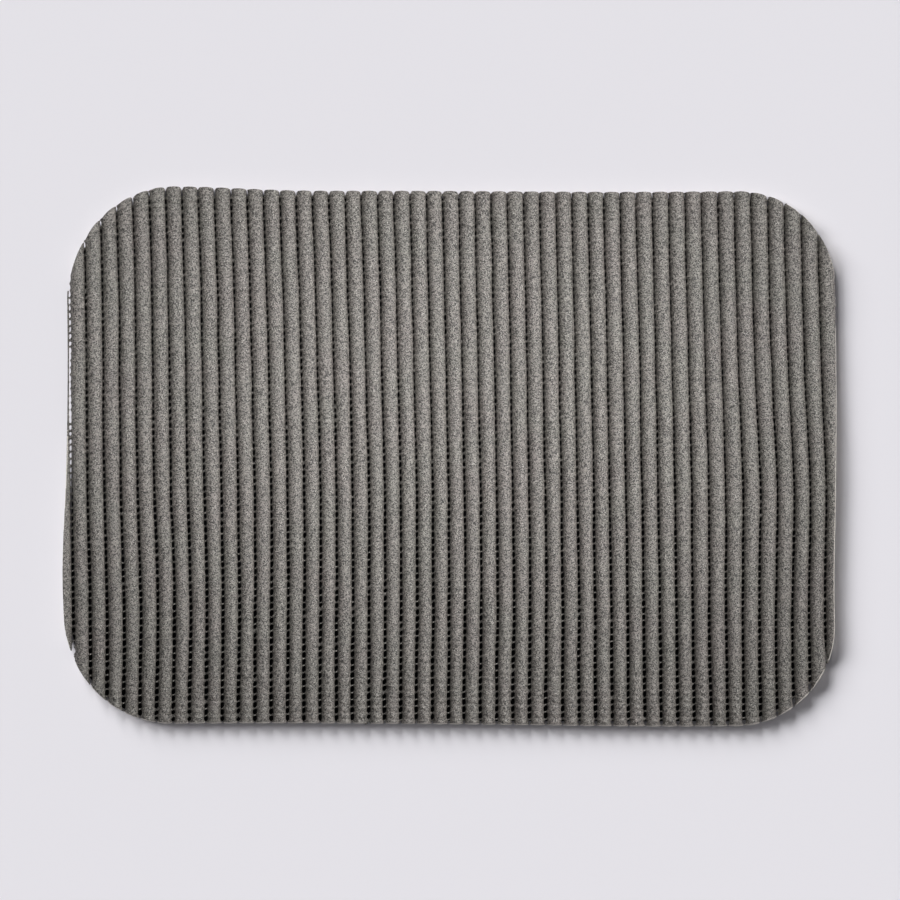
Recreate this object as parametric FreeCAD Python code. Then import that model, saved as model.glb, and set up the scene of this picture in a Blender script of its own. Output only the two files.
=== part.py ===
"""Ribbed anti-fatigue mat, 650 x 450 mm, with rounded corners.

The mat is a row of parallel beads of foamed PVC, formed on an open polyester scrim. The beads, called
ribs here, lie side by side with a narrow valley between them. They meet only at the scrim's cross cords,
which run through all of them, so each valley is a row of small holes. A die cuts the mat out of wider
matting, a little off square. So the ribs end in raw cut faces, and the first and last ribs are cut along
their length.

Frame: +X along the mat's length, across the ribs. +Y along its width, along the ribs. +Z up. The origin
is at the centre of the underside. Sizes are in millimetres, and angles are in degrees.

Each rib is one part. The cross cords are two parts, their foam sleeves and the yarns inside them, and the
yarns that run along the ribs are one more.
"""

import FreeCAD
import Part
import math
import os

# The die-cut outline
MAT_LENGTH = 650.0
MAT_WIDTH = 450.0
CORNER_RADIUS = 90.0

# The ribs
RIB_COUNT = 48
RIB_PITCH = 13.8
RIB_WIDTH = 12.1
RIB_HEIGHT = 9.5
SIDE_BOTTOM = 2.2  # the ribs' sides are upright from this height
SIDE_TOP = 4.6  # up to this one
FOOT_WIDTH = 7.4  # the flat that each rib rests on
SHOULDER_RADIUS = 4.6  # between the upright side and the crown
FIRST_VALLEY_X = -321.0  # middle of the first valley, half way along the ribs
RIB_SKEW = 0.87

# The scrim's cross cords, each a flat yarn in a foam sleeve
WEFT_COUNT = 76
WEFT_PITCH = 5.9
WEFT_SKEW = 0.5
WEFT_HEIGHT = 3.3  # middle of the cord above the floor
SLEEVE_WIDTH = 1.9
SLEEVE_DEPTH = 1.3
WEFT_YARN_WIDTH = 0.9
WEFT_YARN_DEPTH = 0.5

# The scrim's yarns along each rib, above the cross cords
WARPS_PER_RIB = 2
WARP_SPACING = 4.0
WARP_WIDTH = 1.2
WARP_DEPTH = 0.6
FOAM_UNDER_WARP = 0.35

SPARE_LENGTH = 30.0  # how far the uncut matting reaches past the outline
SPARE_HEIGHT = 1.0  # how far the outline's block reaches past the matting

UP = FreeCAD.Vector(0, 0, 1)
ORIGIN = FreeCAD.Vector(0, 0, 0)


def outline_block():
    """The die-cut outline as a block, a little taller than the matting. What is inside it is kept."""
    straight_x = MAT_LENGTH / 2 - CORNER_RADIUS
    straight_y = MAT_WIDTH / 2 - CORNER_RADIUS
    # The corners' centres, anticlockwise from +X +Y, and back to the first.
    signs = [(1, 1), (-1, 1), (-1, -1), (1, -1), (1, 1)]
    centres = [FreeCAD.Vector(x * straight_x, y * straight_y, -SPARE_HEIGHT) for x, y in signs]

    def on_corner(centre, degrees):
        angle = math.radians(degrees)
        return centre + FreeCAD.Vector(math.cos(angle), math.sin(angle), 0) * CORNER_RADIUS

    edges = []
    for corner in range(4):
        start = 90 * corner
        arc = [on_corner(centres[corner], start + turned) for turned in (0, 45, 90)]
        next_arc_start = on_corner(centres[corner + 1], start + 90)
        edges.append(Part.Arc(*arc).toShape())
        edges.append(Part.LineSegment(arc[-1], next_arc_start).toShape())
    return Part.Face(Part.Wire(edges)).extrude(UP * (RIB_HEIGHT + 2 * SPARE_HEIGHT))


def arc_middle(centre, start, end):
    """The point half way along the shorter arc from start to end around centre."""
    towards = (start + end) * 0.5 - centre
    return centre + towards * (start.distanceToPoint(centre) / towards.Length)


def rib_section():
    """A rib's section, in the XZ plane: a flat foot, round lower edges, upright sides and a low crown."""
    half_width = RIB_WIDTH / 2
    foot = FreeCAD.Vector(FOOT_WIDTH / 2, 0, 0)
    side_bottom = FreeCAD.Vector(half_width, 0, SIDE_BOTTOM)
    side_top = FreeCAD.Vector(half_width, 0, SIDE_TOP)
    top = FreeCAD.Vector(0, 0, RIB_HEIGHT)

    # The lower edge's arc comes up from the foot and ends upright.
    undercut = half_width - foot.x
    lower_radius = (undercut**2 + SIDE_BOTTOM**2) / (2 * undercut)
    lower_centre = FreeCAD.Vector(half_width - lower_radius, 0, SIDE_BOTTOM)

    # The crown's arc is centred below the top, and the shoulder's smaller arc touches it from inside.
    shoulder_centre = FreeCAD.Vector(half_width - SHOULDER_RADIUS, 0, SIDE_TOP)
    rise = RIB_HEIGHT - SIDE_TOP
    crown_radius = (rise**2 + shoulder_centre.x**2 - SHOULDER_RADIUS**2) / (2 * (rise - SHOULDER_RADIUS))
    crown_centre = FreeCAD.Vector(0, 0, RIB_HEIGHT - crown_radius)
    towards_shoulder = (shoulder_centre - crown_centre).normalize()
    meeting = crown_centre + towards_shoulder * crown_radius

    lower_middle = arc_middle(lower_centre, foot, side_bottom)
    shoulder_middle = arc_middle(shoulder_centre, side_top, meeting)

    def mirrored(*points):
        return [FreeCAD.Vector(-point.x, 0, point.z) for point in reversed(points)]

    edges = [
        Part.Arc(foot, lower_middle, side_bottom),
        Part.LineSegment(side_bottom, side_top),
        Part.Arc(side_top, shoulder_middle, meeting),
        Part.Arc(meeting, top, *mirrored(meeting)),
        Part.Arc(*mirrored(side_top, shoulder_middle, meeting)),
        Part.LineSegment(*mirrored(side_bottom, side_top)),
        Part.Arc(*mirrored(foot, lower_middle, side_bottom)),
        Part.LineSegment(*mirrored(foot), foot),
    ]
    return Part.Face(Part.Wire([edge.toShape() for edge in edges]))


def flat_section(width, depth, bottom):
    """A rectangle in the XZ plane, centred on X = 0."""
    corners = [(-width / 2, bottom), (width / 2, bottom)]
    corners += [(x, bottom + depth) for x, _ in reversed(corners)]
    points = [FreeCAD.Vector(x, 0, z) for x, z in corners]
    return Part.Face(Part.makePolygon(points + points[:1]))


def along_rib(section, rib, offset=0.0):
    """A section drawn out along one rib's line, from past one side of the mat to past the other."""
    length = MAT_WIDTH + 2 * SPARE_LENGTH
    centre_x = FIRST_VALLEY_X + (rib - 0.5) * RIB_PITCH + offset
    solid = section.extrude(FreeCAD.Vector(0, length, 0))
    solid.translate(FreeCAD.Vector(0, -length / 2, 0))
    solid.rotate(ORIGIN, UP, RIB_SKEW)
    solid.translate(FreeCAD.Vector(centre_x, 0, 0))
    return solid


def along_weft(weft, width, depth):
    """A flat bar along one cross cord's line, from past one end of the mat to past the other."""
    length = MAT_LENGTH + 2 * SPARE_LENGTH
    centre_y = (weft - (WEFT_COUNT - 1) / 2) * WEFT_PITCH
    corner = FreeCAD.Vector(-length / 2, -width / 2, WEFT_HEIGHT - depth / 2)
    bar = Part.makeBox(length, width, depth, corner)
    bar.rotate(ORIGIN, UP, WEFT_SKEW)
    bar.translate(FreeCAD.Vector(0, centre_y, 0))
    return bar


def warp_yarns(rib):
    """The yarns along one rib, before the mat is cut out."""
    bottom = WEFT_HEIGHT + SLEEVE_DEPTH / 2 + FOAM_UNDER_WARP
    section = flat_section(WARP_WIDTH, WARP_DEPTH, bottom)
    offsets = [(n - (WARPS_PER_RIB - 1) / 2) * WARP_SPACING for n in range(WARPS_PER_RIB)]
    return [along_rib(section, rib, offset) for offset in offsets]


def foam_rib(rib, outline, sleeves, yarns):
    """One rib, cut to the outline, with the passages that the cross cords and its own yarns fill."""
    bead = along_rib(rib_section(), rib).common(outline)
    return bead.cut(Part.makeCompound(sleeves + yarns))


def weft_sleeve(weft, outline):
    """The foam sleeve around one cross yarn, a flat tube, cut to the outline."""
    outside = along_weft(weft, SLEEVE_WIDTH, SLEEVE_DEPTH)
    inside = along_weft(weft, WEFT_YARN_WIDTH, WEFT_YARN_DEPTH)
    return outside.cut(inside).common(outline)


def write_part(name, shapes):
    """Writes the solids that are in some shapes as one part."""
    solids = [solid for shape in shapes for solid in shape.Solids]
    faulty = [solid for solid in solids if not solid.isValid()]
    volume = sum(solid.Volume for solid in solids) / 1000
    whole = solids[0] if len(solids) == 1 else Part.makeCompound(solids)
    whole.exportStep(os.path.join("parts", name + ".step"))
    print(f"{name}: {len(solids)} solids, {len(faulty)} faulty, {volume:.2f} cm3")


def main():
    os.makedirs("parts", exist_ok=True)
    outline = outline_block()
    sleeves = [along_weft(weft, SLEEVE_WIDTH, SLEEVE_DEPTH) for weft in range(WEFT_COUNT)]
    weft_yarns = [along_weft(weft, WEFT_YARN_WIDTH, WEFT_YARN_DEPTH) for weft in range(WEFT_COUNT)]
    all_warps = []
    for rib in range(RIB_COUNT):
        yarns = warp_yarns(rib)
        write_part(f"foam_rib_{rib + 1:02d}", [foam_rib(rib, outline, sleeves, yarns)])
        all_warps += yarns
    write_part("weft_sleeves", [weft_sleeve(weft, outline) for weft in range(WEFT_COUNT)])
    write_part("weft_yarns", [yarn.common(outline) for yarn in weft_yarns])
    write_part("warp_yarns", [yarn.common(outline) for yarn in all_warps])


main()
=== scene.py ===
# %% [markdown]
# # A ribbed foam mat
# The real mat is matting of soft foamed PVC. Liquid vinyl is run onto an open net of polyester yarns, and in
# the oven it swells into long round beads, one beside the other, which we call ribs. Only the net's cross
# cords join the ribs, so between two ribs there is a valley with a row of small holes. A die then cuts the
# mat out, which leaves raw, paler foam all round the edge.
#
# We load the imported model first. It gives every size and place, and each piece made here stands in for one or
# more of its parts.

# %% Load the frame
import math

import bpy
import numpy as np
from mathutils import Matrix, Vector


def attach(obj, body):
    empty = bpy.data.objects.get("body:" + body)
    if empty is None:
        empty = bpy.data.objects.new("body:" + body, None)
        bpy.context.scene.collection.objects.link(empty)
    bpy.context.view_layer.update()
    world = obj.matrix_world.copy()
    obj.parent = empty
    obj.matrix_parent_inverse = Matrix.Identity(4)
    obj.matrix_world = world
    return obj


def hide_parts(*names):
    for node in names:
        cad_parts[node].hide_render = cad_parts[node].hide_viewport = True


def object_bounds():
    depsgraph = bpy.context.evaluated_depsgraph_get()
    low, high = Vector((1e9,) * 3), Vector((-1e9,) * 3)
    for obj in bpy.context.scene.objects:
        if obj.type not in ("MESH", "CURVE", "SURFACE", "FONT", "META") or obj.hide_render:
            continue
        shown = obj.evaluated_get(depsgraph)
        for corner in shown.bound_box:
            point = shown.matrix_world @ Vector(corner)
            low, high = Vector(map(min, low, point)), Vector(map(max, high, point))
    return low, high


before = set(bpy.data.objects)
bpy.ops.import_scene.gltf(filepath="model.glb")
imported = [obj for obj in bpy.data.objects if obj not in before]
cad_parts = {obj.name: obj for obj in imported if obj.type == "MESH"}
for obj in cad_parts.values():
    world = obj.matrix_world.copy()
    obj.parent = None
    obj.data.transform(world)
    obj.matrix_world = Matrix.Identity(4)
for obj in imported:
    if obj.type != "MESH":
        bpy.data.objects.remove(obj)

cad_low, cad_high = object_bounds()
print("the mat's box in metres:", [round(v, 4) for v in cad_high - cad_low])

# %% [markdown]
# ## Sizes
# The ribs are about 12 mm wide and the surface is finer still, so we think in millimetres and turn points
# into metres when a mesh is made. The outside sizes come from the frame. The pitch of the ribs and of the
# cross cords is how the matting was made.

# %% Sizes in millimetres
MM = 0.001
LENGTH, WIDTH, HEIGHT = [v / MM for v in cad_high - cad_low]
RIBS = sum(name.startswith("foam_rib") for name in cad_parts)
RIB_PITCH = 13.8
RIB_WIDTH = 12.1
VALLEY_WIDTH = RIB_PITCH - RIB_WIDTH
FIRST_VALLEY_X = -321.0
RIB_LEAN = math.tan(math.radians(0.87))  # the die wasn't quite square to the ribs
WEFTS = 76
WEFT_PITCH = 5.9
WEFT_Z = 3.3  # height of the cross cords
WARP_Z = 4.6  # height of the lengthwise yarns
CORD_REACH = 0.95  # how far from its middle a cross cord or a valley shapes the foam
print(RIBS, "ribs,", WEFTS, "cross cords, mat", round(LENGTH), "x", round(WIDTH), "x", round(HEIGHT, 1), "mm")

# %% [markdown]
# ## Unevenness
# Foam is never regular. Most of the small differences here come from one function, a smooth random swell, as
# if a soft sheet were pushed up and down at the corners of a grid. It mixes the corners' whole numbers into a
# random height, so the same place always gives the same height, and no random state is needed. `swell` takes
# positions that are already divided by the size of the lumps wanted, and it stays between -1 and 1.

# %% A smooth random swell
def corner_height(column, row, seed):
    """A random height from -1 to 1 for each corner of a grid."""
    mixed = (column * 374761393 + row * 668265263 + seed * 974634777) & 0xFFFFFFFF
    mixed = ((mixed ^ (mixed >> 13)) * 1274126177) & 0xFFFFFFFF
    return ((mixed ^ (mixed >> 16)) & 0xFFFF) / 32767.5 - 1


def swell(across, along, seed):
    """Smooth random lumps, one unit in size."""
    across, along = np.broadcast_arrays(np.asarray(across, float), np.asarray(along, float))
    column, row = np.floor(across).astype(np.int64), np.floor(along).astype(np.int64)
    u, v = across - column, along - row
    u, v = u * u * (3 - 2 * u), v * v * (3 - 2 * v)
    near = corner_height(column, row, seed) * (1 - u) + corner_height(column + 1, row, seed) * u
    far = corner_height(column, row + 1, seed) * (1 - u) + corner_height(column + 1, row + 1, seed) * u
    return near * (1 - v) + far * v


print("three swells:", [round(float(swell(x, 0.3, 1)), 2) for x in (0.2, 0.9, 1.6)])

# %% [markdown]
# ## How the ribs lie
# Fresh off the roll, the ribs would be straight. In use and in the post they are pushed about, so they lie in
# slow curves. We describe that with a few sideways pushes. Each has a middle, how far it reaches along X and
# along Y, and how far it moves the ribs in +X. A little random wobble is added to every valley.

# %% Lines of the valleys and of the cross cords
PUSHES = [
    (-125, -30, 120, 145, 3.6),
    (-245, -125, 65, 70, 2.2),
    (-240, 140, 215, 95, 1.7),
    (285, -25, 65, 70, 3.4),
    (190, -100, 70, 300, -1.3),
    (210, 265, 155, 165, -2.5),
    (45, -225, 90, 75, -2.6),
]
WOBBLE = 0.3
WEFT_RISE = 2.8  # the cross cords climb this much from the left end to the middle, and again to the right end
WEFT_SAG = 1.4  # and both ends sag this much


def valley_x(valley, y):
    """Where the middle of a valley is, at one place along it. Valleys count from 0."""
    straight = FIRST_VALLEY_X + RIB_PITCH * valley - RIB_LEAN * y
    pushed = sum(
        push * np.exp(-(((straight - x) / reach_x) ** 2) - ((y - middle_y) / reach_y) ** 2)
        for x, middle_y, reach_x, reach_y, push in PUSHES
    )
    return straight + pushed + WOBBLE * swell(y / 34, valley * 1.0 + 0 * y, 7)


def weft_y(weft, x):
    """Where a cross cord is, at one place along it. Cords count from 0."""
    share = x / (LENGTH / 2)
    return (weft - (WEFTS - 1) / 2) * WEFT_PITCH + WEFT_RISE * share - WEFT_SAG * share**2


print("first valley, top to bottom:", np.round(valley_x(0, np.array([120.0, 0.0, -120.0])), 1))

# %% [markdown]
# ## The cut edge
# The die's shape is a rectangle with rounded corners. The foam was squeezed when it was cut, so the edge that
# it sprang back to isn't perfect: the two right corners are tighter, and the edges bow by a few millimetres.
# We walk round the outline once and keep it as four curves that can be looked up, two over X and two over Y.

# %% Outline of the cut
SHEAR = 1.05  # the die pushed the mat's top this far to -X and +Y of its foot
HALF_LENGTH, HALF_WIDTH = (LENGTH - SHEAR) / 2, (WIDTH - SHEAR) / 2
CORNER_RADII = {(1, 1): 82.0, (-1, 1): 92.0, (-1, -1): 90.0, (1, -1): 84.0}
CORNER_ROOM = 95.0  # a little more than the largest radius
# Bows of each edge: (middle along the edge, reach, how far the edge is moved in +X or +Y)
LEFT_BOWS = [(-95, 50, -2.3), (115, 75, 1.3), (40, 75, 1.2), (172, 22, 1.3)]
RIGHT_BOWS = [(40, 70, 0.7), (-105, 45, -1.1)]
TOP_BOWS = [(-235, 75, 3.6), (-130, 45, -0.3), (140, 130, -1.0)]
BOTTOM_BOWS = [(-150, 120, 0.8), (190, 130, -2.0)]


def bowed(bows, along):
    return sum(move * np.exp(-(((along - middle) / reach) ** 2)) for middle, reach, move in bows)


def corner(side_x, side_y):
    """Points round one corner, from the end edge to the long edge."""
    radius = CORNER_RADII[side_x, side_y]
    turned = np.radians(np.linspace(0, 90, 91))
    x = side_x * (HALF_LENGTH - radius + radius * np.cos(turned))
    y = side_y * (HALF_WIDTH - radius + radius * np.sin(turned))
    end_bows = RIGHT_BOWS if side_x > 0 else LEFT_BOWS
    long_bows = TOP_BOWS if side_y > 0 else BOTTOM_BOWS
    return x + np.cos(turned) * bowed(end_bows, y), y + np.sin(turned) * bowed(long_bows, x)


def long_edge(side_y, bows):
    """The outline's upper or lower half as a curve over X."""
    inner = np.linspace(-HALF_LENGTH + CORNER_ROOM, HALF_LENGTH - CORNER_ROOM, 200)
    left, right = corner(-1, side_y), corner(1, side_y)
    x = np.concatenate([left[0], inner, right[0][::-1]])
    y = np.concatenate([left[1], side_y * HALF_WIDTH + bowed(bows, inner), right[1][::-1]])
    order = np.argsort(x, kind="stable")
    return x[order], y[order]


def end_edge(side_x, bows):
    """The outline's left or right half as a curve over Y."""
    inner = np.linspace(-HALF_WIDTH + CORNER_ROOM, HALF_WIDTH - CORNER_ROOM, 120)
    low, high = corner(side_x, -1), corner(side_x, 1)
    x = np.concatenate([low[0][::-1], side_x * HALF_LENGTH + bowed(bows, inner), high[0]])
    y = np.concatenate([low[1][::-1], inner, high[1]])
    order = np.argsort(y, kind="stable")
    return y[order], x[order]


TOP, BOTTOM = long_edge(1, TOP_BOWS), long_edge(-1, BOTTOM_BOWS)
LEFT, RIGHT = end_edge(-1, LEFT_BOWS), end_edge(1, RIGHT_BOWS)


def edge_y(side_y, x):
    return np.interp(x, *(TOP if side_y > 0 else BOTTOM))


def edge_x(side_x, y):
    return np.interp(y, *(RIGHT if side_x > 0 else LEFT))


def sheared(z):
    """How far the cut lies to +X and -Y of the outline, at a height."""
    return SHEAR * (0.5 - z / HEIGHT)


middles = (edge_x(-1, 0), edge_x(1, 0), edge_y(1, 0), edge_y(-1, 0))
print("edges at the middle:", [round(float(v), 1) for v in middles])

# %% [markdown]
# ## Making meshes
# Every piece is a tube of some kind: rings of points, joined to the next ring by four-sided faces, and closed
# at both ends by a point. One function lists the faces of such a tube, and one turns points and faces into a
# Blender object. Arrays are handed over whole, because a loop over a million points would take minutes. A
# mesh only shows once an object carries it and the object is in the scene, which `placed` takes care of.

# %% Mesh helpers
def placed(name, data):
    """An object for a mesh, a light or a camera, put into the scene."""
    item = bpy.data.objects.new(name, data)
    bpy.context.scene.collection.objects.link(item)
    return item


def tube_faces(rings, points_round, first=0):
    """Faces of a closed tube whose points are listed ring by ring, followed by its two end points."""
    ring, place = np.meshgrid(np.arange(rings - 1), np.arange(points_round), indexing="ij")
    following = (place + 1) % points_round
    here, there = ring * points_round + first, (ring + 1) * points_round + first
    quads = np.stack([here + place, here + following, there + following, there + place], -1).reshape(-1, 4)
    around = np.arange(points_round)
    after = (around + 1) % points_round
    start = np.full(points_round, first + rings * points_round)
    last = (rings - 1) * points_round + first
    start_fan = np.stack([start, after + first, around + first], -1)
    end_fan = np.stack([start + 1, last + around, last + after], -1)
    return quads, np.concatenate([start_fan, end_fan])


def make_piece(name, points, quads, triangles, materials, quad_materials=None, triangle_material=0):
    """A Blender object from points in millimetres. Quads come first in its list of faces."""
    mesh = bpy.data.meshes.new(name)
    mesh.vertices.add(len(points))
    mesh.vertices.foreach_set("co", (np.asarray(points) * MM).astype(np.float32).ravel())
    corners = np.concatenate([quads.ravel(), triangles.ravel()]).astype(np.int32)
    sizes = np.concatenate([np.full(len(quads), 4), np.full(len(triangles), 3)]).astype(np.int32)
    mesh.loops.add(len(corners))
    mesh.loops.foreach_set("vertex_index", corners)
    mesh.polygons.add(len(sizes))
    mesh.polygons.foreach_set("loop_start", (np.cumsum(sizes) - sizes).astype(np.int32))
    mesh.polygons.foreach_set("loop_total", sizes)
    used = np.zeros(len(sizes), np.int32)
    if quad_materials is not None:
        used[: len(quads)] = quad_materials
    used[len(quads) :] = triangle_material
    for material in materials:
        mesh.materials.append(material)
    mesh.polygons.foreach_set("material_index", used)
    mesh.polygons.foreach_set("use_smooth", np.ones(len(sizes), bool))
    mesh.update(calc_edges=True)
    return placed(name, mesh)


# %% [markdown]
# ## Colours and nodes
# Makers give colours as hex values, as they look on a screen. Blender's shaders want linear light, so one
# function converts them. A second small function adds a shader node, sets its inputs and links them. The rest
# use it for what the materials need again and again: a noise, a blend, a step of arithmetic, a range and a
# shade. That keeps each material short enough to read.

# %% Colour and node helpers
def linear(hex_colour):
    """A colour such as 8C8984 as linear RGB and an alpha of 1."""
    parts = [int(hex_colour[i : i + 2], 16) / 255 for i in (0, 2, 4)]
    return [p / 12.92 if p <= 0.04045 else ((p + 0.055) / 1.055) ** 2.4 for p in parts] + [1.0]


def add_node(tree, kind, settings=None, **inputs):
    """Adds a node. An input is a value, or a node's output to link from; _ in its name stands for a space."""
    node = tree.nodes.new(kind)
    for name, value in (settings or {}).items():
        setattr(node, name, value)
    for name, value in inputs.items():
        socket = node.inputs[int(name[1:])] if name[1:].isdigit() else node.inputs[name.replace("_", " ")]
        if isinstance(value, bpy.types.NodeSocket):
            tree.links.new(value, socket)
        else:
            socket.default_value = value
    return node


def new_material(name):
    """An empty node material with its output, ready for a shader."""
    material = bpy.data.materials.new(name)
    material.use_nodes = True
    material.node_tree.nodes.clear()
    output = material.node_tree.nodes.new("ShaderNodeOutputMaterial")
    return material, material.node_tree, output


def scale_for(size_mm):
    """A texture scale whose lumps are about that many millimetres, where coordinates are in metres."""
    return 1 / (size_mm * MM)


def noise(tree, where, size_mm, **inputs):
    """Soft random patches of about one size, as numbers around 0.5."""
    node = add_node(tree, "ShaderNodeTexNoise", Vector=where, Scale=scale_for(size_mm), **inputs)
    return node.outputs["Fac"]


def blend(tree, share, first, second):
    """A mix of two colours."""
    node = add_node(tree, "ShaderNodeMix", {"data_type": "RGBA"}, Factor=share, _6=first, _7=second)
    return node.outputs[2]


def maths(tree, operation, *values):
    """One step of arithmetic, such as ADD or GREATER_THAN."""
    inputs = {f"_{place}": value for place, value in enumerate(values)}
    return add_node(tree, "ShaderNodeMath", {"operation": operation}, **inputs).outputs[0]


def ranged(tree, value, low, high, new_low=0.0, new_high=1.0):
    """Stretches the numbers from low to high over a new range. What lies beyond stays at its ends."""
    node = add_node(
        tree, "ShaderNodeMapRange", Value=value, From_Min=low, From_Max=high, To_Min=new_low, To_Max=new_high
    )
    return node.outputs[0]


def shaded(tree, colour, shade):
    """A colour made darker or lighter by a number around 1."""
    node = add_node(tree, "ShaderNodeVectorMath", {"operation": "SCALE"}, _0=colour, Scale=shade)
    return node.outputs[0]


print("mid grey 8C8984 in linear light:", [round(v, 3) for v in linear("8C8984")[:3]])

# %% [markdown]
# ## Foamed PVC skin
# Plasticised PVC swells in the oven, and its outside sets as a thin matt skin over the bubbles. To the eye it
# is a warm grey like fine orange peel, with pinholes where bubbles broke through and tiny light glints from
# the rims. The glints are a painted highlight, light specks put into the colour, and the pinholes' dark colour
# is painted shade in the pits. PVC has an IOR of about 1.53, and the skin is rough.
#
# The real bubbles are 0.3 to 0.6 mm across. The peel is drawn with two noises of 0.55 mm and 0.4 mm, and each
# cell of a Voronoi pattern gets a shade of its own. The pinholes and the glints are single cells of that
# pattern. It is drawn at 0.82 mm, coarser than the real bubbles, because anything finer wouldn't show. A slow
# noise of 40 mm mixes in a greener and a redder grey, as batches of pigment do.

# %% Foamed PVC skin material
def foam_skin(name, base, green_tint, red_tint, grain=1.0):
    material, tree, output = new_material(name)
    where = add_node(tree, "ShaderNodeTexCoord").outputs["Object"]
    peel = noise(tree, where, 0.55, Detail=2.0, Roughness=0.7)
    fine = noise(tree, where, 0.4, Detail=1.0, Roughness=0.7)
    cells = add_node(tree, "ShaderNodeTexVoronoi", Vector=where, Scale=scale_for(0.82))
    # Each cell has three random numbers of its own.
    lucky, pitted, toned = add_node(tree, "ShaderNodeSeparateColor", Color=cells.outputs["Color"]).outputs

    batch = ranged(tree, noise(tree, where, 40, Detail=2.0), 0.35, 0.65)
    tint = blend(tree, batch, linear(green_tint), linear(red_tint))
    plain = blend(tree, 0.78, tint, linear(base))
    # The peel's light and dark, around 1.
    both = maths(tree, "ADD", peel, fine)
    per_cell = maths(tree, "MULTIPLY_ADD", toned, 1.5, -0.75)
    uneven = maths(tree, "ADD", both, per_cell)
    shade = ranged(tree, uneven, 0.45, 1.55, 1 - 0.82 * grain, 1 + 1.06 * grain)
    grained = shaded(tree, plain, shade)
    # A painted glint or a pinhole is the middle of a cell, in the one cell in six whose random number is high
    # enough. The glint's pale colour is a painted highlight, and the pinhole's dark colour is painted shade.
    middle = ranged(tree, cells.outputs["Distance"], 0.45, 0.2)
    painted_glint = maths(tree, "MULTIPLY", middle, maths(tree, "GREATER_THAN", lucky, 0.84))
    pinhole_pit_and_shade = maths(tree, "MULTIPLY", middle, maths(tree, "GREATER_THAN", pitted, 0.83))
    # E2DED6 is the painted highlight of the glints.
    with_painted_glints = blend(tree, maths(tree, "MULTIPLY", painted_glint, 0.75), grained, linear("E2DED6"))
    # 2A2825 is painted shade in the pinholes; the bump below sinks them as well.
    with_pinhole_shade = blend(tree, maths(tree, "MULTIPLY", pinhole_pit_and_shade, 0.8), with_painted_glints, linear("2A2825"))
    # The same peel raises the surface, and pinholes sink into it.
    height = maths(tree, "SUBTRACT", both, pinhole_pit_and_shade)
    bump = add_node(tree, "ShaderNodeBump", Height=height, Strength=0.7 * grain, Distance=0.2 * MM)
    shader = add_node(
        tree, "ShaderNodeBsdfPrincipled", Base_Color=with_pinhole_shade, IOR=1.53, Normal=bump.outputs[0],
        Roughness=ranged(tree, peel, 0.3, 0.7, 0.48, 0.62),
    )
    tree.links.new(shader.outputs[0], output.inputs[0])
    return material


skin = foam_skin("foamed PVC skin", "67635F", "63655C", "6A625F")
# The coat is the skin's foam in a darker colour: painted shade, as the bridges lie deep in the valleys.
coat = foam_skin("foamed PVC coat on yarn, darker as painted shade", "5C5955", "585A53", "5F5A57", grain=0.8)
print("made", skin.name, "and", coat.name)

# %% [markdown]
# ## Cut foam
# Where the die went through, the bubbles are open. The cut face has no skin, so it looks paler, since the
# torn walls of the cells scatter light, and it is pitted. A Voronoi pattern gives the open cells: darker in
# the middle, which is painted shade in their hollows, and pale at the walls. The real cells are 0.3 to 0.6 mm,
# and they are drawn at 0.75 mm so that they show.

# %% Cut foam material
def cut_foam():
    material, tree, output = new_material("cut PVC foam, open cells")
    where = add_node(tree, "ShaderNodeTexCoord").outputs["Object"]
    cells = add_node(tree, "ShaderNodeTexVoronoi", Vector=where, Scale=scale_for(0.75))
    wall = ranged(tree, cells.outputs["Distance"], 0.05, 0.5)
    # The darker middles of the open cells are painted shade in their hollows; the pale walls are the foam's own
    # colour.
    colour = blend(tree, wall, linear("A39E95"), linear("E0DBD2"))
    patches = ranged(tree, noise(tree, where, 3, Detail=3.0), 0.3, 0.7, 0.82, 1.12)
    bump = add_node(tree, "ShaderNodeBump", Height=wall, Strength=0.8, Distance=0.3 * MM)
    shader = add_node(
        tree, "ShaderNodeBsdfPrincipled", Base_Color=shaded(tree, colour, patches), Roughness=0.92,
        IOR=1.53, Normal=bump.outputs[0],
    )
    tree.links.new(shader.outputs[0], output.inputs[0])
    return material


raw_foam = cut_foam()
print("made", raw_foam.name)

# %% [markdown]
# ## Polyester yarn
# The net is of polyester yarn, many thin filaments with a slight twist. Its own colour is off-white.
# Polyester is glossier than the foam, with an IOR of about 1.58, and a slanting wave on the yarn stands for
# the filaments. The real ones are 0.02 mm, far too fine to show, so they are drawn about 0.3 mm wide.

# %% Polyester yarn material
def polyester_yarn():
    material, tree, output = new_material("polyester yarn")
    where = add_node(tree, "ShaderNodeTexCoord").outputs["Object"]
    strands = add_node(
        tree, "ShaderNodeTexWave", {"bands_direction": "DIAGONAL"}, Vector=where,
        Scale=scale_for(0.3) / (2 * math.pi), Distortion=2.0, Detail=1.0,
    ).outputs["Fac"]
    bump = add_node(tree, "ShaderNodeBump", Height=strands, Strength=0.4, Distance=0.05 * MM)
    shader = add_node(
        tree, "ShaderNodeBsdfPrincipled", Base_Color=blend(tree, strands, linear("A9A49B"), linear("E4E0D8")),
        Roughness=0.45, IOR=1.58, Normal=bump.outputs[0],
    )
    tree.links.new(shader.outputs[0], output.inputs[0])
    return material


yarn = polyester_yarn()
print("made", yarn.name)

# %% [markdown]
# ## A rib's section
# Poured vinyl rests flat on the belt, bulges at the sides and domes at the top. The section is drawn as half
# the outline from the foot to the crown, then mirrored: a flat foot, a rounded lower edge, an upright side
# and a dome, which is half an ellipse. Most of the points are on the dome, which is what the eye sees.

# %% Section of a rib
HALF = RIB_WIDTH / 2
FOOT = 3.7  # half the width of the flat foot
SIDE_BOTTOM = 2.2
SIDE_TOP = 3.5


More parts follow.
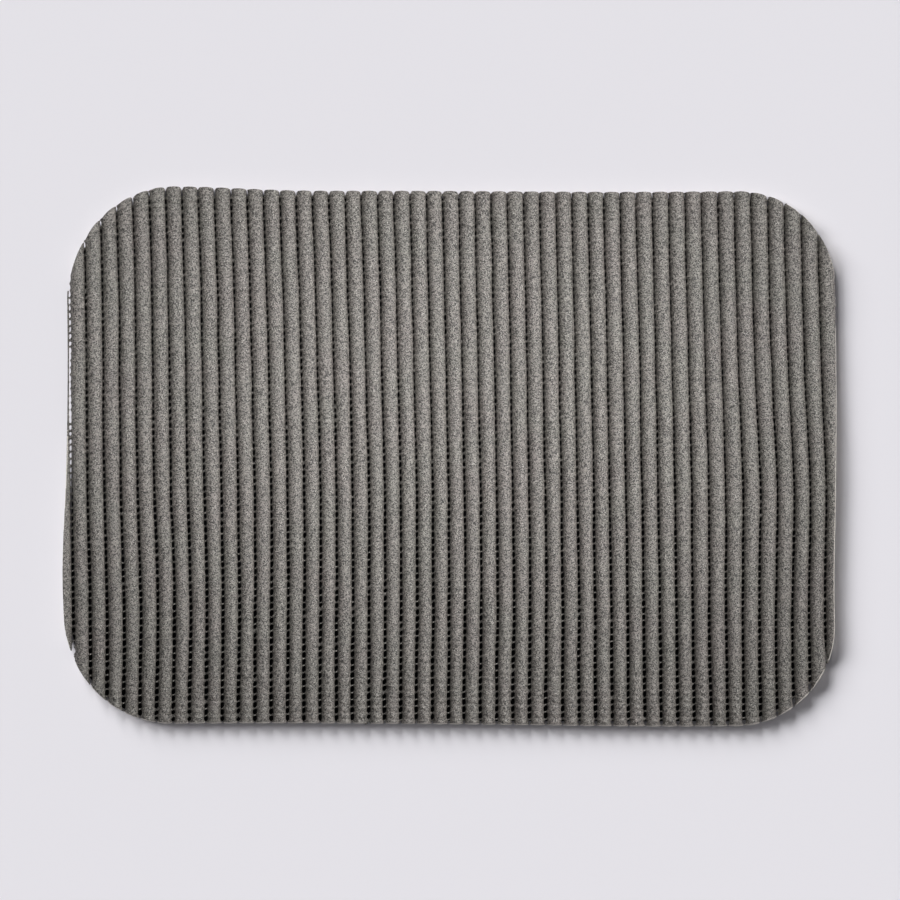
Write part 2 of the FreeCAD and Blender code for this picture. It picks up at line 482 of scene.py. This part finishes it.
def half_section(dome_steps=9, edge_steps=3):
    """Points (share of half the width, height) from the foot's middle up to just before the crown."""
    turned = np.radians(np.linspace(0, 90, edge_steps + 1)[1:])
    edge_x_part = FOOT + (HALF - FOOT) * np.sin(turned)
    edge_z = SIDE_BOTTOM * (1 - np.cos(turned))
    risen = np.radians(np.linspace(0, 90, dome_steps + 1)[:-1])
    dome_x = HALF * np.cos(risen)
    dome_z = SIDE_TOP + (HEIGHT - SIDE_TOP) * np.sin(risen)
    x = np.concatenate([[FOOT / 2, FOOT], edge_x_part, [HALF], dome_x])
    z = np.concatenate([[0, 0], edge_z, [(SIDE_BOTTOM + SIDE_TOP) / 2], dome_z])
    return x / HALF, z


def whole_section(**steps):
    """The closed section from the foot's middle round by +X, its outward directions and its arc length."""
    x, z = half_section(**steps)
    q = np.concatenate([[0], x, [0], -x[::-1]])
    z = np.concatenate([[0], z, [HEIGHT], z[::-1]])
    along = np.stack([np.roll(q, -1) - np.roll(q, 1), (np.roll(z, -1) - np.roll(z, 1)) / HALF], -1)
    along /= np.linalg.norm(along, axis=1)[:, None]
    steps_long = np.hypot(np.diff(q, append=q[0]) * HALF, np.diff(z, append=z[0]))
    return q, z, along[:, 1], -along[:, 0], np.cumsum(steps_long) - steps_long


SECTION = whole_section()
print("points round a rib:", len(SECTION[0]))

# %% [markdown]
# ## The rib's surface
# Four things shape the surface. The cross cords tug at the sides, so a rib swells a little where each cord
# enters and is hollow between them, which makes the holes oval. The crown rises and falls slightly, more so
# near the cut ends, where the mat was handled. Shallow dents cross several ribs at once, where the matting
# was bent. Last comes a fine lumpiness. All of it moves the points, so it is real shape and not only shading.

# %% Unevenness of a rib
HANDLED_REACH = 32.0  # how far in from its cut ends a rib was squeezed in handling


def rib_relief(rib, q, z, arc, x, y):
    """How far the surface stands out from the plain section, in millimetres, and how far the crown rises."""
    side = np.sign(q)
    left = side < 0
    flank_z, flank_reach = np.where(left, 4.6, 3.9), np.where(left, 2.2, 2.0)
    flank = np.exp(-(((z - flank_z) / flank_reach) ** 2)) * (np.abs(q) > 0.5)
    # Cords enter the left side on a slant, because the vinyl ran as it swelled.
    slant = np.where(left, 0.35, 0.1) * (z - WEFT_Z)
    place = (y - weft_y(0, x) - slant) / WEFT_PITCH
    cord = np.round(place)
    off = (place - cord) * WEFT_PITCH
    strength = 1 + 0.5 * corner_height(cord.astype(np.int64), (rib * 2 + (side > 0)).astype(np.int64), 3)
    pull = np.where(left, 1.2, 0.55) * strength * np.exp(-((off / CORD_REACH) ** 2))
    hollow = np.where(left, 0.5, 0.3)
    tug = flank * (pull - hollow)

    near_end = np.exp(-np.clip(WIDTH / 2 - np.abs(y), 0, None) / HANDLED_REACH)
    dome = np.clip((z - SIDE_TOP) / (HEIGHT - SIDE_TOP), 0, 1)
    crown = 0.2 * swell(rib * 3.7, y / 17, 11) + (0.07 + 0.16 * near_end) * swell(rib * 5.3, y / 6.5, 12)
    held_down = (0.07 + 0.38 * near_end) * np.cos(2 * math.pi * place)  # above each cord
    dents = np.clip(swell(x / 55, y / 8 + x / 90, 13) - 0.35, 0, 1) * (0.25 + 0.9 * near_end)
    lumps = 0.07 * swell(arc / 2.9, y / 3.1, 20 + rib) + 0.07 * swell(arc / 1.4, y / 1.5, 80 + rib)
    return tug + lumps * (z > 0.05), dome * (crown - dents - held_down)


# %% [markdown]
# ## Whole ribs
# Lines run along the rib from one cut end to the other, one for each point of the section. Each line stops
# where it meets the outline, so at the rounded corners the rib ends in a slanting cut. The last rings close
# in a little, as soft foam springs back and rounds its cut edge, and a few smaller rings cover the cut face,
# which bulges by half a millimetre.

# %% Rings at a rib's end
END_STEPS = np.array([0.0, 0.3, 0.8, 1.6, 2.6])  # distances from the cut, in millimetres
FACE_SHARES = np.array([0.18, 0.5, 0.8])  # sizes of the rings on the cut face
FACE_MIDDLE_Z = 4.4
FACE_BULGE = 0.5
ROW_STEP = 0.85
END_ROOM = 0.7  # between the rings at an end and the evenly spaced ones
NARROWEST = 0.45  # no valley is narrower, except at the tip where the last one closes
TIP_Y, TIP_LENGTH, TIP_CLOSING = -148, 18, 1.9  # where it starts to close, over what length and how far
EDGE_ROUNDING = 0.6  # how far in from the cut the edge is rounded
DRAWN_IN = 0.35  # how far the skin is drawn in at the cut
PINCH_REACH = 1.4  # how far in from the lower cut the ribs' feet were pressed together


def gap(valley, y):
    """How wide a valley is. It is wider towards the lower left, where the mat was stretched."""
    x = FIRST_VALLEY_X + RIB_PITCH * valley
    opened = 1.1 * np.clip(-y / WIDTH - 0.1, -0.3, 0.5) / 0.4 - 0.4 * x / LENGTH
    at_left_edge = 0.3 * np.exp(-(((y - 57) / 95) ** 6)) * (valley == 0)
    at_tip = np.clip((TIP_Y - y) / TIP_LENGTH, 0, 1) * (valley == RIBS - 2)
    narrowest = NARROWEST - 0.35 * at_tip
    uneven = 0.35 * swell(y / 23, valley * 1.0 + 0 * y, 8) + 0.25 * swell(y / 4, valley * 1.7, 9)
    width = VALLEY_WIDTH - 0.1 + opened + uneven - TIP_CLOSING * at_tip
    return np.maximum(width, narrowest) + at_left_edge


def line_x(rib, q, y):
    """X of a line along a rib. The rib fills the room between the valleys on either side of it."""
    left = valley_x(rib - 1, y) + gap(rib - 1, y) / 2
    right = valley_x(rib, y) - gap(rib, y) / 2
    return (left + right) / 2 + q * (right - left) / 2


def cut_y(rib, q, z, side_y):
    """Y where a line along a rib meets the cut."""
    y = side_y * WIDTH / 2 + 0 * q
    for _ in range(8):
        x = line_x(rib, q, y) - sheared(z)
        y = 0.4 * y + 0.6 * (edge_y(side_y, x) - sheared(z))
    slope = edge_y(side_y, x + 0.5) - edge_y(side_y, x - 0.5)
    # The free corners of the rib sprang back from the cut.
    sprung = 0.4 * np.clip((np.abs(q) - 0.85) / 0.15, 0, 1) ** 2 + 0.2 * q**2
    return y - side_y * sprung * np.exp(-4 * slope**2)


def closed_in(distance):
    """How far the skin is drawn in, at a distance from the cut."""
    share = np.clip(1 - distance / EDGE_ROUNDING, 0, 1)
    return DRAWN_IN * (1 - np.sqrt(1 - share**2))


def lower_part(z):
    """How much of a push at the foot is felt at a height: all of it up to 3 mm, and none from 6 mm."""
    return np.clip((6.0 - z) / 3, 0, 1)


def pinched(rib, q, z, x, y, cut):
    """Near the lower cut, the feet of neighbouring ribs were pressed together and stuck to each other."""
    slope = edge_y(-1, x + 0.5) - edge_y(-1, x - 0.5)
    near = np.exp(-(((y - cut) / (PINCH_REACH * np.sqrt(1 + slope**2))) ** 2))
    room = gap(np.where(q > 0, rib, rib - 1), y) / 2
    moved = near * lower_part(z) * np.sign(q) * np.abs(q) ** 4 * room
    return x + moved, y + near * slope * moved


def lifted(z, out_z, out, rise):
    """Heights moved by the relief. The foot stays flat, and the relief is only felt in full from 1 mm up."""
    return np.maximum(z + np.clip(z, 0, 1) * (out_z * out + rise), 0)


def rib_rings(rib):
    """Points of a rib, ring by ring from -Y to +Y."""
    q, z, out_q, out_z, arc = SECTION
    low, high = cut_y(rib, q, z, -1), cut_y(rib, q, z, 1)
    rows = int((high - low).max() / ROW_STEP)
    share = np.linspace(0, 1, rows)[:, None]
    inner_low, inner_high = low + END_STEPS[-1] + END_ROOM, high - END_STEPS[-1] - END_ROOM
    y = np.concatenate(
        [
            low + END_STEPS[:, None],
            inner_low + share * (inner_high - inner_low),
            high - END_STEPS[::-1, None],
        ]
    )
    distance = np.minimum(y - low, high - y)
    x = line_x(rib, q, y)
    x, y = pinched(rib, q, z, x, y, low)
    relief, rise = rib_relief(rib, q, z, arc, x, y)
    out = relief - closed_in(distance)
    return np.stack([x + out_q * out, y, lifted(z, out_z, out, rise)], -1)


def face_rings(rib, ring, side_y):
    """Rings that cover a cut face, from its edge inwards."""
    q, z = SECTION[:2]
    centre_x = ring[:, 0].mean()
    rings = []
    for share in FACE_SHARES[::-1]:
        inner_q, inner_z = q * share, FACE_MIDDLE_Z + (z - FACE_MIDDLE_Z) * share
        y = cut_y(rib, inner_q, inner_z, side_y)
        x = centre_x + (ring[:, 0] - centre_x) * share
        bulge = side_y * (FACE_BULGE * (1 - share**2) + 0.16 * swell(x / 1.6, inner_z / 1.6, 40 + rib))
        rings.append(np.stack([x, y + bulge, FACE_MIDDLE_Z + (ring[:, 2] - FACE_MIDDLE_Z) * share], -1))
    return rings


def whole_rib(rib):
    rings = rib_rings(rib)
    before = np.array(face_rings(rib, rings[0], -1)[::-1])
    after = np.array(face_rings(rib, rings[-1], 1))
    every = np.concatenate([before, rings, after])
    count, around = every.shape[:2]
    ends = np.array([every[0].mean(0), every[-1].mean(0)])
    quads, triangles = tube_faces(count, around)
    ring_of = np.repeat(np.arange(count - 1), around)
    on_cut = (ring_of < len(before)) | (ring_of >= count - 1 - len(after))
    points = np.concatenate([every.reshape(-1, 3), ends])
    return make_piece(f"rib_{rib + 1:02d}", points, quads, triangles, [skin, raw_foam], on_cut, 1)


rib_pieces = {rib: whole_rib(rib) for rib in range(1, RIBS - 1)}
print(len(rib_pieces), "whole ribs,", sum(len(p.data.polygons) for p in rib_pieces.values()), "faces")

# %% [markdown]
# ## The two outer ribs
# The die ran along the first and the last rib and left only part of their width. So here each ring is the
# whole section with everything beyond the cut pushed back onto it, which gives a flat cut wall. The ring is
# then walked round at even steps, because pushing points back bunches them on the wall. Where the first rib
# is down to a thin strand, the foam has shrunk to a thin cord.

# %% Outer ribs
STRAND_Z = WEFT_Z + 0.2  # the height of the thin strand's middle
THINNEST = 0.45  # a narrower strand tore off
HEALED = 1.8  # on a narrower strand the skin has drawn over the cut
STUCK = 2.5  # about this narrow, the lower tip is stuck to the rib beside it
NEAR_WALL = 0.3  # points this close to the cut wall count as raw foam


def cut_x(side_x, y, z):
    """X of the cut wall along the first or the last rib."""
    return edge_x(side_x, y + sheared(z)) + sheared(z)


def outer_ring(rib, side_x, y, section):
    """One ring of a rib that is cut along its length, and how wide it is."""
    q, z, out_q, out_z, arc = section
    x = line_x(rib, q, y + 0 * q)
    relief, rise = rib_relief(rib, q, z, arc, x, y + 0 * q)
    x = x + out_q * relief
    z = lifted(z, out_z, relief, rise)
    wall = cut_x(side_x, y, z)
    width = (wall.mean() - (x.min() if side_x > 0 else x.max())) * side_x
    if side_x > 0 > y:
        x = x - (q < 0) * np.exp(-((width / STUCK) ** 2)) * lower_part(z) * gap(rib - 1, y) / 2
    x = side_x * np.minimum(side_x * x, side_x * wall)
    thin = np.clip(0.2 + 0.8 * (width - 1.5) / 3, 0.2, 1)
    z = STRAND_Z + (z - STRAND_Z) * thin
    return np.stack([x, y + 0 * x, z], -1), width


def walked(ring, count):
    """The same closed ring as points at even steps."""
    closed = np.concatenate([ring, ring[:1]])
    gone = np.concatenate([[0], np.cumsum(np.linalg.norm(np.diff(closed, axis=0), axis=1))])
    at = np.linspace(0, gone[-1], count, endpoint=False)
    return np.stack([np.interp(at, gone, closed[:, i]) for i in range(3)], -1)


def outer_rib(rib, side_x, around=56):
    dense = whole_section(dome_steps=60, edge_steps=14)
    # The walk starts at the side that isn't cut.
    start = int(np.argmax(-side_x * dense[0] - 0.01 * np.abs(dense[1] - 3.4)))
    dense = [np.roll(part, -start) for part in dense]
    rings, widths = [], []
    for y in np.arange(-WIDTH / 2, WIDTH / 2, ROW_STEP):
        ring, width = outer_ring(rib, side_x, y, dense)
        if width > THINNEST:
            rings.append(walked(ring, around))
            widths.append(width)
    every = np.array(rings)
    ends = np.array([every[0].mean(0), every[-1].mean(0)])
    quads, triangles = tube_faces(len(every), around)
    points = np.concatenate([every.reshape(-1, 3), ends])
    wall = cut_x(side_x, points[:, 1], points[:, 2])
    on_wall = np.abs(points[:, 0] - wall) < NEAR_WALL
    on_cut = on_wall[quads].all(1) & np.repeat(np.array(widths[:-1]) > HEALED, around)
    return make_piece(f"rib_{rib + 1:02d}", points, quads, triangles, [skin, raw_foam], on_cut, 1)


rib_pieces[0] = outer_rib(0, -1)
rib_pieces[RIBS - 1] = outer_rib(RIBS - 1, 1)
for rib in (0, RIBS - 1):
    box = np.array(rib_pieces[rib].bound_box) / MM
    print("rib", rib + 1, "spans", np.round(box.min(0), 1), "to", np.round(box.max(0), 1))

# %% [markdown]
# ## Cross cords
# Each cross cord runs through all the ribs. Inside a rib it is buried, and in a valley it shows as a small
# bridge: yarn with a thin, uneven coat of the same foam, narrow in the middle and flaring where it meets the
# ribs. The coat is coloured darker than the ribs' skin, which is painted shade deep in the valleys. Some
# bridges caught more vinyl, and close part of a hole. Each cord is one long tube with extra rings at the
# valleys. They are made in bundles, so that no mesh gets too heavy.

# %% Foam sleeves on the cross cords
VALLEYS = RIBS - 1
BRIDGE_STATIONS = np.array([-2.3, -1.35, -0.9, -0.45, 0.0, 0.45, 0.9, 1.35, 2.3])
SLEEVE_BUNDLES = 4
END_MARGIN = 1.8  # how far inside the upper and lower edges a sleeve ends
SIDE_MARGIN, CORNER_MARGIN = 0.25, 1.4  # and inside the left and right ones, along them and at the corners
CORNER_START = 80.0  # how far from the upper and lower edges the corners begin
RING_ROOM = 0.2  # the least distance between a cord's end and its next ring
BURIED = 1.0  # how deep in a rib a cord stops that would have ended in a valley


def cord_path(weft, stations):
    """Points along a cross cord: X, Y, the distance to the nearest valley's middle and which valley it is."""
    y_guess = weft_y(weft, 0.0)
    along = np.arange(-330, 330, 0.5)
    y = weft_y(weft, along)
    shift = sheared(WEFT_Z)
    upper_cut, lower_cut = edge_y(1, along - shift) - shift, edge_y(-1, along - shift) - shift
    margin = np.where(np.abs(y) > WIDTH / 2 - CORNER_START, CORNER_MARGIN, SIDE_MARGIN)
    left_cut, right_cut = cut_x(-1, y, WEFT_Z), cut_x(1, y, WEFT_Z)
    inside_x = (along > left_cut + margin) & (along < right_cut - margin)
    inside = along[inside_x & (y < upper_cut - END_MARGIN) & (y > lower_cut + END_MARGIN)]
    left, right = inside[0], inside[-1]
    middles = np.array([float(valley_x(k, weft_y(weft, valley_x(k, y_guess)))) for k in range(VALLEYS)])
    # A cord that would end in a valley stops in the last rib before it instead.
    for valley, middle in enumerate(middles):
        room = float(gap(valley, y_guess)) / 2
        if abs(middle - left) < room + RING_ROOM:
            left = middle + room + BURIED
        if abs(middle - right) < room + RING_ROOM:
            right = middle - room - BURIED
    crossed = middles[(middles > left) & (middles < right)]
    x = (crossed[:, None] + stations).ravel()
    x = np.concatenate([[left], x[(x > left + RING_ROOM) & (x < right - RING_ROOM)], [right]])
    nearest = np.abs(x[:, None] - crossed).argmin(1)
    off = x - crossed[nearest]
    y = weft_y(weft, x) + 0.4 * swell(x / 5.5, weft * 1.0, 51)
    y = y + 0.3 * np.clip(off, -1.4, 1.4)  # the bridges lie a little aslant
    return x, y, off, nearest


def cord_z(weft, x, off):
    """Height of a cross cord, which dips a little in each valley."""
    dip = 0.35 * np.exp(-((off / CORD_REACH) ** 2))
    return WEFT_Z + 0.25 - dip + 0.2 * swell(x / 9, weft * 2.3, 54)


def cord_tube(x, y, z, half_y, half_z, around, first):
    """A tube of oval rings along a cord, with its faces."""
    angle = np.linspace(0, 2 * math.pi, around, endpoint=False)
    ring_y = y[:, None] + half_y[:, None] * np.cos(angle)
    ring_z = z[:, None] + half_z[:, None] * np.sin(angle)
    rings = np.stack([np.broadcast_to(x[:, None], ring_y.shape), ring_y, ring_z], -1)
    ends = np.stack([x[[0, -1]], y[[0, -1]], z[[0, -1]]], -1)
    quads, triangles = tube_faces(len(x), around, first)
    return np.concatenate([rings.reshape(-1, 3), ends]), quads, triangles


def sleeve(weft, first):
    x, y, off, nearest = cord_path(weft, BRIDGE_STATIONS)
    away = 1 - np.exp(-((off / CORD_REACH) ** 2))
    luck = corner_height(nearest.astype(np.int64), np.full(len(x), weft), 52)
    fuller = np.clip((y + 90) / 120, 0, 1)  # more vinyl stayed on the cords towards the upper edge
    webbed = 0.85 - 0.15 * fuller
    thick = 1 + 0.3 * luck + 0.75 * fuller + 1.2 * np.clip((luck - webbed) / (1 - webbed), 0, 1)
    lumps = 1 + 0.16 * swell(x / 0.8, weft * 3.1, 53)
    half_y = thick * lumps * (0.48 + 0.7 * away)
    half_z = np.minimum(thick, 1.6) * (0.4 + 0.5 * away)
    half_y[[0, -1]] *= 0.5
    return cord_tube(x, y, cord_z(weft, x, off), half_y, half_z, 8, first)


def bundle(name, make, members, material):
    """Several tubes as one piece."""
    points, quads, triangles, first = [], [], [], 0
    for member in members:
        p, q, t = make(member, first)
        points.append(p)
        quads.append(q)
        triangles.append(t)
        first += len(p)
    parts = [np.concatenate(part) for part in (points, quads, triangles)]
    return make_piece(name, *parts, [material])


sleeve_pieces = [
    bundle(f"cord_sleeves_{n + 1}", sleeve, range(n, WEFTS, SLEEVE_BUNDLES), coat)
    for n in range(SLEEVE_BUNDLES)
]
print(len(sleeve_pieces), "bundles of sleeves,", sum(len(p.data.polygons) for p in sleeve_pieces), "faces")

# %% [markdown]
# ## Yarns
# The yarns hold the mat together, and they hardly show: where they show at all, it is as pale dots on the cut
# faces. They are made at full length all the same, the cross yarns inside their sleeves and two along each
# whole rib, because that is how the mat is built. They end about level with the cut.

# %% Cross yarns and lengthwise yarns
CROSS_YARN = (0.42, 0.42 * 0.6)  # half the width and half the height of a yarn, both flattened a little
LONG_YARN = (0.55, 0.3)
LONG_YARN_X = 2.0  # how far a lengthwise yarn lies from the rib's middle
PAST_SLEEVE, PAST_CUT = 0.45, 0.5


def cross_yarn(weft, first):
    x, y, off = cord_path(weft, np.array([-0.9, 0.9]))[:3]
    x = np.concatenate([[x[0] - PAST_SLEEVE], x[1:-1], [x[-1] + PAST_SLEEVE]])
    half_y, half_z = (np.full(len(x), half) for half in CROSS_YARN)
    return cord_tube(x, y, cord_z(weft, x, off), half_y, half_z, 6, first)


def long_yarn(place, first):
    rib, side = place
    q = side * LONG_YARN_X / HALF
    low, high = (float(cut_y(rib, np.array([q]), np.array([WARP_Z]), s)[0]) for s in (-1, 1))
    y = np.linspace(low - PAST_CUT, high + PAST_CUT, 64)
    x = line_x(rib, q, y) + 0.15 * swell(y / 11, rib * 2.0 + side, 61)
    half_x, half_z = (np.full(len(y), half) for half in LONG_YARN)
    points, quads, triangles = cord_tube(y, x, np.full(len(y), WARP_Z), half_x, half_z, 6, first)
    return points[:, [1, 0, 2]], quads[:, ::-1], triangles[:, ::-1]


cross_yarns = bundle("cross_yarns", cross_yarn, range(WEFTS), yarn)
yarn_places = [(rib, side) for rib in range(1, RIBS - 1) for side in (-1, 1)]
long_yarns = bundle("lengthwise_yarns", long_yarn, yarn_places, yarn)
print("yarns:", len(cross_yarns.data.polygons) + len(long_yarns.data.polygons), "faces")

# %% [markdown]
# ## What each piece stands for
# Every piece rides on the mat's one body and takes the place of the plain part it details.

# %% Hand the pieces to the frame
for rib, piece in rib_pieces.items():
    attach(piece, "root")
    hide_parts(f"foam_rib_{rib + 1:02d}")
for piece in sleeve_pieces:
    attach(piece, "root")
    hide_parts("weft_sleeves")
for piece, node in ((cross_yarns, "weft_yarns"), (long_yarns, "warp_yarns")):
    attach(piece, "root")
    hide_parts(node)
mat_pieces = [*rib_pieces.values(), *sleeve_pieces, cross_yarns, long_yarns]
print(len(mat_pieces), "pieces")

# %% [markdown]
# ## Floor
# A plain pale sweep of painted board, a very faint lilac grey. It is much larger than the mat, so its edge
# never shows. A trace of noise in its roughness keeps it from looking like plastic.

# %% Floor
def painted_board():
    material, tree, output = new_material("matt painted board")
    where = add_node(tree, "ShaderNodeTexCoord").outputs["Object"]
    roughness = ranged(tree, noise(tree, where, 2, Detail=2.0), 0, 1, 0.85, 0.95)
    shader = add_node(
        tree, "ShaderNodeBsdfPrincipled", Base_Color=linear("E4E2E7"), Roughness=roughness,
        Specular_IOR_Level=0.2,
    )
    tree.links.new(shader.outputs[0], output.inputs[0])
    return material


def flat_stage(name, outline, z, material):
    """A flat piece of the set, from its outline."""
    mesh = bpy.data.meshes.new(name)
    mesh.from_pydata([(x, y, z) for x, y in outline], [], [range(len(outline))])
    mesh.materials.append(material)
    item = placed(name, mesh)
    return item


FLOOR_REACH = 20.0  # in metres, from the middle to each side
FLOOR_Z = -0.3  # in millimetres, just below the card
floor_corners = [(x * FLOOR_REACH, y * FLOOR_REACH) for x, y in ((-1, -1), (1, -1), (1, 1), (-1, 1))]
floor = flat_stage("floor", floor_corners, FLOOR_Z * MM, painted_board())
print("floor", 2 * FLOOR_REACH, "m wide")

# %% [markdown]
# ## Backdrop
# From a low angle the eye looks past the floor's edge. A low ring of pale paper, lit from behind, stands far
# away all round, so the studio stays pale there too. It casts no shadow, and it is so low and so far off that
# it hardly lights the mat.

# %% Backdrop
def lit_paper():
    material, tree, output = new_material("backlit paper")
    where = add_node(tree, "ShaderNodeTexCoord").outputs["Object"]
    strength = ranged(tree, noise(tree, where, 4000, Detail=1.0), 0, 1, 0.98, 1.02)
    glow = add_node(tree, "ShaderNodeEmission", Color=linear("E5E3E8"), Strength=strength)
    tree.links.new(glow.outputs[0], output.inputs[0])
    return material


RING_SIDES = 96
RING_RADIUS, RING_FOOT, RING_HEIGHT = 19.0, -0.01, 2.0  # in metres
around = np.linspace(0, 2 * math.pi, RING_SIDES, endpoint=False)
foot_points = [(RING_RADIUS * math.cos(a), RING_RADIUS * math.sin(a), RING_FOOT) for a in around]
head_points = [(x, y, RING_HEIGHT) for x, y, _ in foot_points]
ring_faces = [
    (n, (n + 1) % RING_SIDES, RING_SIDES + (n + 1) % RING_SIDES, RING_SIDES + n) for n in range(RING_SIDES)
]
ring_mesh = bpy.data.meshes.new("backdrop")
ring_mesh.from_pydata(foot_points + head_points, [], ring_faces)
ring_mesh.materials.append(lit_paper())
backdrop = placed("backdrop", ring_mesh)
backdrop.visible_shadow = False  # so the low shadow lights pass it
print("backdrop", RING_HEIGHT, "m high,", RING_RADIUS, "m away")

# %% [markdown]
# ## Dark card: painted shade under the holes
# The holes read dark, except close to the edge. A dark card under the mat, cut a little smaller than the mat,
# paints that shade into them. It belongs to the set and not to the mat. Its dark colour reflects about 2% of
# the light, and towards the mat's upper edge it turns to a grey that reflects about 10%, which paints the holes
# there less dark.

# %% Dark card under the mat
def painted_shade_card():
    material, tree, output = new_material("matt black card, painted shade under the holes")
    where = add_node(tree, "ShaderNodeTexCoord").outputs["Object"]
    # The card's near-black colour is painted shade for the holes; it turns lighter grey towards the mat's upper
    # edge, painting less shade there.
    dark = blend(tree, noise(tree, where, 1, Detail=2.0), linear("222223"), linear("303031"))
    lighter_upwards = ranged(tree, add_node(tree, "ShaderNodeSeparateXYZ", Vector=where).outputs["Y"], -0.15, 0.05)
    shader = add_node(
        tree, "ShaderNodeBsdfPrincipled", Base_Color=blend(tree, lighter_upwards, dark, linear("575759")),
        Roughness=0.9, Specular_IOR_Level=0.1,
    )
    tree.links.new(shader.outputs[0], output.inputs[0])
    return material


INSET = 4.5  # how far the card's edge lies inside the mat's, in millimetres as all sizes of the card
CARD_SHIFT = (0.5, -2.0)  # it wasn't laid quite in the middle
CARD_CORNER = 90.0
CARD_Z = -0.02  # just below the mat's foot
turned = np.radians(np.arange(0, 360, 3) + 1.5)
corner_x = np.sign(np.cos(turned)) * (LENGTH / 2 - CARD_CORNER) + (CARD_CORNER - INSET) * np.cos(turned)
corner_y = np.sign(np.sin(turned)) * (WIDTH / 2 - CARD_CORNER) + (CARD_CORNER - INSET) * np.sin(turned)
card_outline = list(zip((corner_x + CARD_SHIFT[0]) * MM, (corner_y + CARD_SHIFT[1]) * MM))
flat_stage("card", card_outline, CARD_Z * MM, painted_shade_card())
print("card", round(np.ptp(corner_x)), "x", round(np.ptp(corner_y)), "mm")

# %% [markdown]
# ## Light
# Two broad, low lights from the upper left lay a soft shadow to the lower right, and a weak, very wide light
# from overhead lifts it a little. Two soft boxes model the ribs: one almost above, for the crowns, and one to
# the right, for the slopes on that side. Each light is linked to what it should light, as flags would keep it
# off the rest in a studio: the first three only reach the floor, and the soft boxes only the mat.

# %% Lights
def linked_to(light, name, objects):
    """Lets a light reach only these objects."""
    group = bpy.data.collections.new(name)
    for item in objects:
        group.objects.link(item)
    light.light_linking.receiver_collection = group


def add_light(name, kind, energy, location, target, **settings):
    """A white light that looks at a target."""
    data = bpy.data.lights.new(name, kind)
    data.energy = energy
    for key, value in settings.items():
        setattr(data, key, value)
    light = placed(name, data)
    light.location = location
    direction = Vector(target) - Vector(location)
    light.rotation_euler = direction.to_track_quat("-Z", "Y").to_euler()
    return light


FLOOR_LIGHTS = [  # name, strength, where it comes from, how wide it looks in degrees
    ("shadow_light_1", 2.84, (-1.0, 0.55, 0.55), 30),
    ("shadow_light_2", 3.26, (-0.55, 1.0, 0.55), 30),
    ("overhead_light", 0.2, (0.0, 0.0, 1.0), 160),
]
SOFT_BOXES = [  # name, power in watts, where it stands, what it points at
    ("top_soft_box", 1.38, (-0.1, 0.28, 1.2), (-0.1, 0.05, 0)),
    ("right_soft_box", 1.78, (1.1, 0.28, 1.05), (0, 0.05, 0)),
]
BOX_SETTINGS = {"shape": "RECTANGLE", "size": 0.8, "size_y": 0.25, "spread": math.radians(50)}
SURROUND_STRENGTH = 0.09
for name, strength, side, wide in FLOOR_LIGHTS:
    floor_light = add_light(name, "SUN", strength, side, (0, 0, 0), angle=math.radians(wide))
    linked_to(floor_light, "lit by " + name, [floor])
for name, power, stand, aim in SOFT_BOXES:
    box_light = add_light(name, "AREA", power, stand, aim, **BOX_SETTINGS)
    linked_to(box_light, "lit by " + name, mat_pieces)

world = bpy.data.worlds.new("pale studio")
bpy.context.scene.world = world
world.use_nodes = True
world.node_tree.nodes["Background"].inputs["Color"].default_value = linear("F2F1F6")
world.node_tree.nodes["Background"].inputs["Strength"].default_value = SURROUND_STRENGTH
bpy.context.scene.view_settings.view_transform = "Standard"
print(len(FLOOR_LIGHTS) + len(SOFT_BOXES), "lights and a pale surround")

# %% [markdown]
# ## Camera
# The mat is seen from straight above through a long lens, so that all the ribs look alike from side to side.
# The view takes in a little more than the mat's length.

# %% Camera
VIEW_WIDTH = 0.7595  # in metres, as is the rest of the camera
CAMERA_HEIGHT = 8.0
CAMERA_SHIFT = (-0.0006, 0.0063)
camera_data = bpy.data.cameras.new("camera")
camera_data.lens = camera_data.sensor_width * CAMERA_HEIGHT / VIEW_WIDTH
camera = placed("camera", camera_data)
camera.location = (*CAMERA_SHIFT, CAMERA_HEIGHT)
bpy.context.scene.camera = camera
print("lens", round(camera_data.lens), "mm")
